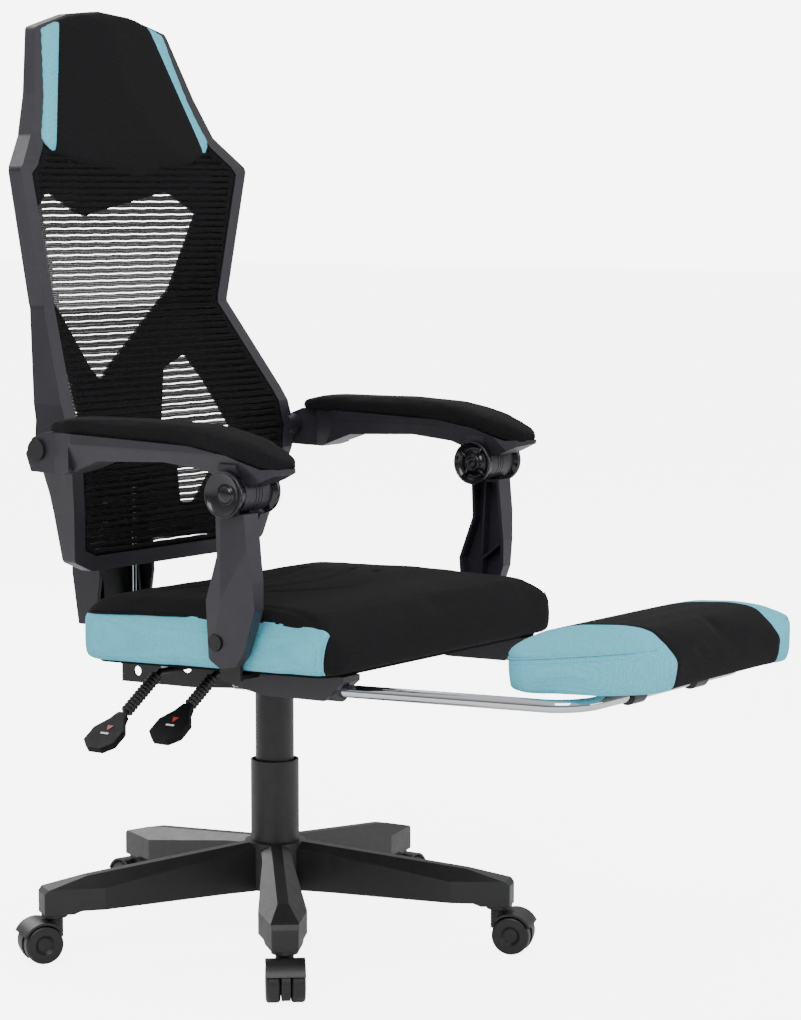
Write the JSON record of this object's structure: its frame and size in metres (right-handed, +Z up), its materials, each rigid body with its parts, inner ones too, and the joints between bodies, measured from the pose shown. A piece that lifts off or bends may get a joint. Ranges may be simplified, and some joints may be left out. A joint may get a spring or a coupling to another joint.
{
  "type": "gaming chair",
  "caption": "Reclining gaming chair with a mesh back, padded headrest, linked armrests, slide-out footrest, gas lift and five-legged base on twin casters.",
  "frame": {"origin": "on the floor under the gas lift's axis", "axes": "+Z up, the chair faces -Y, a sitter's right side is -X"},
  "size_m": [0.6637, 1.0389, 1.233],
  "materials": {
    "base_nylon": "textured moulded glass-filled nylon",
    "frame_plastic": "fine spark-textured moulded polypropylene",
    "gloss_plastic": "polished moulded ABS",
    "fabric_black": "sandwich mesh upholstery fabric",
    "fabric_teal": "sandwich mesh upholstery fabric",
    "mesh_black": "slotted elastic knitted mesh",
    "painted_steel": "black powder coat",
    "chrome": "chrome plated tube",
    "zinc_steel": "zinc plated",
    "plywood": "raw birch plywood",
    "bellows_rubber": "satin rubber"
  },
  "bodies": {
    "base": {"star_base": "base_nylon", "gas_cylinder": "painted_steel", "lift_cover_lower": "frame_plastic"},
    "lift": {"gas_piston": "zinc_steel", "lift_cover_upper": "frame_plastic"},
    "release_pin": {"gas_release_pin": "zinc_steel"},
    "seat": {"mechanism_tray": "painted_steel", "taper_socket": "zinc_steel", "seat_board": "plywood", "seat_cushion": "fabric_black", "rail_brackets": "frame_plastic", "arm_brackets": "painted_steel", "recline_spring": "zinc_steel", "seat_bolts": "zinc_steel", "recline_axle": "zinc_steel", "link_bolts": "painted_steel"},
    "back": {"back_frame": "frame_plastic", "back_mesh": "mesh_black", "back_shell": "frame_plastic", "spine_cover": "frame_plastic", "back_bracket": "painted_steel", "headrest_cushion": "fabric_black", "back_bolts": "zinc_steel", "spine_rod": "chrome", "rear_bolts": "painted_steel"},
    "rails": {"footrest_rails": "chrome"},
    "footrest": {"footrest_pad": "fabric_teal", "footrest_hinge_plate": "painted_steel"},
    "lift_lever": {"lift_lever_rod": "painted_steel", "lift_lever_bellows": "bellows_rubber", "lift_lever_paddle": "gloss_plastic"},
    "recline_lever": {"recline_lever_rod": "painted_steel", "recline_lever_bellows": "bellows_rubber", "recline_lever_paddle": "gloss_plastic"},
    "link_left": {"arm_link_left": "frame_plastic"},
    "arm_left": {"arm_shell_left": "frame_plastic", "arm_pad_left": "fabric_black", "barrel_caps_left": "gloss_plastic", "barrel_pin_left": "painted_steel"},
    "link_right": {"arm_link_right": "frame_plastic"},
    "arm_right": {"arm_shell_right": "frame_plastic", "arm_pad_right": "fabric_black", "barrel_caps_right": "gloss_plastic", "barrel_pin_right": "painted_steel"},
    "caster_1": {"caster_hood_1": "base_nylon", "caster_stem_1": "zinc_steel"},
    "wheels_1": {"caster_wheels_1": "base_nylon"},
    "caster_2": {"caster_hood_2": "base_nylon", "caster_stem_2": "zinc_steel"},
    "wheels_2": {"caster_wheels_2": "base_nylon"},
    "caster_3": {"caster_hood_3": "base_nylon", "caster_stem_3": "zinc_steel"},
    "wheels_3": {"caster_wheels_3": "base_nylon"},
    "caster_4": {"caster_hood_4": "base_nylon", "caster_stem_4": "zinc_steel"},
    "wheels_4": {"caster_wheels_4": "base_nylon"},
    "caster_5": {"caster_hood_5": "base_nylon", "caster_stem_5": "zinc_steel"},
    "wheels_5": {"caster_wheels_5": "base_nylon"}
  },
  "joints": [
    {"name": "caster_swivel_1", "type": "hinge", "parent": "base", "child": "caster_1", "pos_m": [0.30402, 0.02446, 0.06], "axis": [0, 0, 1], "continuous": true},
    {"name": "wheel_spin_1", "type": "hinge", "parent": "caster_1", "child": "wheels_1", "pos_m": [0.32296, 0.02598, 0.025], "axis": [-0.0802, 0.9968, 0], "continuous": true},
    {"name": "caster_swivel_2", "type": "hinge", "parent": "base", "child": "caster_2", "pos_m": [0.07068, 0.2967, 0.06], "axis": [0, 0, 1], "continuous": true},
    {"name": "wheel_spin_2", "type": "hinge", "parent": "caster_2", "child": "wheels_2", "pos_m": [0.07509, 0.31518, 0.025], "axis": [-0.9728, 0.2317, 0], "continuous": true},
    {"name": "caster_swivel_3", "type": "hinge", "parent": "base", "child": "caster_3", "pos_m": [-0.26033, 0.15891, 0.06], "axis": [0, 0, 1], "continuous": true},
    {"name": "wheel_spin_3", "type": "hinge", "parent": "caster_3", "child": "wheels_3", "pos_m": [-0.27655, 0.16881, 0.025], "axis": [-0.521, -0.8536, 0], "continuous": true},
    {"name": "caster_swivel_4", "type": "hinge", "parent": "base", "child": "caster_4", "pos_m": [-0.23158, -0.19849, 0.06], "axis": [0, 0, 1], "continuous": true},
    {"name": "wheel_spin_4", "type": "hinge", "parent": "caster_4", "child": "wheels_4", "pos_m": [-0.246, -0.21085, 0.025], "axis": [0.6508, -0.7593, 0], "continuous": true},
    {"name": "caster_swivel_5", "type": "hinge", "parent": "base", "child": "caster_5", "pos_m": [0.11721, -0.28158, 0.06], "axis": [0, 0, 1], "continuous": true},
    {"name": "wheel_spin_5", "type": "hinge", "parent": "caster_5", "child": "wheels_5", "pos_m": [0.12451, -0.29912, 0.025], "axis": [0.9232, 0.3843, 0], "continuous": true},
    {"name": "lift_height", "type": "slide", "parent": "base", "child": "lift", "axis": [0, 0, 1], "range_m": [-0.06, 0.035]},
    {"name": "seat_swivel", "type": "hinge", "parent": "lift", "child": "seat", "pos_m": [0, 0, 0.36], "axis": [0, 0, 1], "continuous": true},
    {"name": "release_pin_press", "type": "slide", "parent": "lift", "child": "release_pin", "axis": [0, 0, 1], "range_m": [-0.003, 0]},
    {"name": "back_recline", "type": "hinge", "parent": "seat", "child": "back", "pos_m": [0, 0.105, 0.37], "axis": [-1, 0, 0], "range_deg": [0, 35]},
    {"name": "link_swing_left", "type": "hinge", "parent": "seat", "child": "link_left", "pos_m": [0.27, -0.134, 0.444], "axis": [-1, 0, 0], "range_deg": [0, 52.5]},
    {"name": "arm_tilt_left", "type": "hinge", "parent": "link_left", "child": "arm_left", "pos_m": [0.262, -0.161, 0.628], "axis": [-1, 0, 0], "range_deg": [-46, 0]},
    {"name": "link_swing_right", "type": "hinge", "parent": "seat", "child": "link_right", "pos_m": [-0.27, -0.134, 0.444], "axis": [-1, 0, 0], "range_deg": [0, 52.5]},
    {"name": "arm_tilt_right", "type": "hinge", "parent": "link_right", "child": "arm_right", "pos_m": [-0.262, -0.161, 0.628], "axis": [-1, 0, 0], "range_deg": [-46, 0]},
    {"name": "footrest_slide", "type": "slide", "parent": "seat", "child": "rails", "axis": [0, -0.9993, 0.0384], "range_m": [-0.175, 0]},
    {"name": "footrest_flip", "type": "hinge", "parent": "rails", "child": "footrest", "pos_m": [0, -0.6, 0.39844], "axis": [1, 0, 0], "range_deg": [0, 180]},
    {"name": "lift_lever_pull", "type": "hinge", "parent": "seat", "child": "lift_lever", "pos_m": [-0.08, -0.022, 0.377], "axis": [0, 1, 0], "range_deg": [0, 5], "stiffness_Nm_per_rad": 2, "springref_deg": -5.73},
    {"name": "recline_lever_pull", "type": "hinge", "parent": "seat", "child": "recline_lever", "pos_m": [-0.08, 0.072, 0.371], "axis": [0, 1, 0], "range_deg": [0, 5], "stiffness_Nm_per_rad": 2, "springref_deg": -5.73}
  ],
  "couplings": [
    {"joint": "link_swing_left", "follows": "back_recline", "ratio": 1.4958},
    {"joint": "link_swing_right", "follows": "back_recline", "ratio": 1.4958},
    {"joint": "arm_tilt_left", "follows": "back_recline", "ratio": -1.3067},
    {"joint": "arm_tilt_right", "follows": "back_recline", "ratio": -1.3067},
    {"joint": "release_pin_press", "follows": "lift_lever_pull", "m_per_rad": -0.0343}
  ]
}
